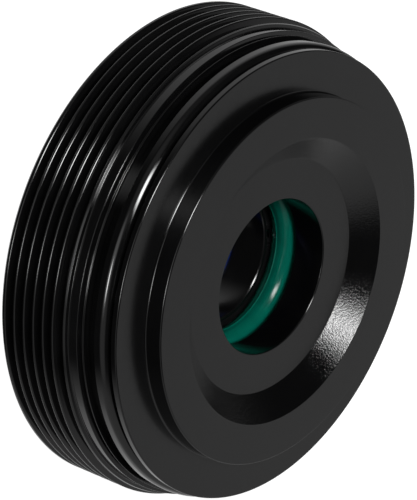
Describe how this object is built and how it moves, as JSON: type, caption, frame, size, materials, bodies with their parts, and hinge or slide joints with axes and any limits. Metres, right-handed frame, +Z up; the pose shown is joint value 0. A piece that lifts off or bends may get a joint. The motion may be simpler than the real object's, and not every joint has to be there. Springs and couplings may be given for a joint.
{
  "type": "electromagnetic clutch",
  "caption": "Belt-driven electromagnetic clutch: poly-V pulley with rotor, sealed bearing, field coil on a flange, and a spring-mounted armature under a hub with a conical recess.",
  "frame": {"origin": "on the shaft axis, at the centre of the bolt circle in the flange's seating face", "axes": "+Y along the shaft axis towards the machine that the clutch is mounted on, the front of the clutch faces -Y, +Z up, lead outlet on +X"},
  "size_m": [0.1416, 0.0496, 0.1416],
  "materials": {
    "black_gloss": "gloss black coating",
    "grey_satin": "smooth dark grey coating",
    "friction_steel": "turned friction face",
    "steel": "plain machined steel",
    "bearing_steel": "ground and polished",
    "spring_steel": "blued spring steel",
    "phosphate": "matt black phosphate",
    "cage_brass": "stamped brass",
    "seal_green": "moulded green rubber",
    "seal_blue": "moulded blue rubber",
    "rubber_black": "black damper rubber",
    "friction_lining": "pressed friction material",
    "bobbin_nylon": "natural nylon",
    "copper": "enamelled copper wire",
    "potting_resin": "poured dark resin",
    "black_plastic": "moulded black plastic"
  },
  "bodies": {
    "stator": {"mounting_flange": "steel", "bearing_sleeve": "phosphate", "coil_housing": "steel", "coil_bobbin": "bobbin_nylon", "coil_winding": "copper", "coil_potting": "potting_resin", "coil_rivets": "steel", "lead_outlet": "black_plastic", "bearing_inner_ring": "bearing_steel", "sleeve_circlip": "phosphate", "rear_seal": "seal_blue"},
    "pulley": {"belt_pulley": "black_gloss", "rotor": "black_gloss", "friction_ring": "friction_lining", "bearing_outer_ring": "bearing_steel", "bearing_shield_front": "rubber_black", "bearing_shield_rear": "seal_blue", "rotor_circlip": "phosphate", "front_seal": "seal_green"},
    "ball_set": {"bearing_balls": "bearing_steel", "ball_cages": "cage_brass"},
    "hub": {"drive_hub": "grey_satin", "damper_rubber": "rubber_black", "front_plate": "grey_satin", "hub_rivets": "steel"},
    "armature": {"armature_plate": "black_gloss", "leaf_springs": "spring_steel", "armature_rivets": "steel"}
  },
  "joints": [
    {"name": "pulley_spin", "type": "hinge", "parent": "stator", "child": "pulley", "pos_m": [0, -0.0157, 0], "axis": [0, 1, 0], "continuous": true},
    {"name": "ball_orbit", "type": "hinge", "parent": "stator", "child": "ball_set", "pos_m": [0, -0.0157, 0], "axis": [0, 1, 0], "continuous": true},
    {"name": "hub_spin", "type": "hinge", "parent": "stator", "child": "hub", "pos_m": [0, -0.0388, 0], "axis": [0, 1, 0], "continuous": true},
    {"name": "armature_engage", "type": "slide", "parent": "hub", "child": "armature", "axis": [0, 1, 0], "range_m": [0, 0.00048], "stiffness_N_per_m": 60000, "deforming": ["leaf_springs"]}
  ],
  "couplings": [
    {"joint": "ball_orbit", "follows": "pulley_spin", "ratio": 0.5536}
  ]
}
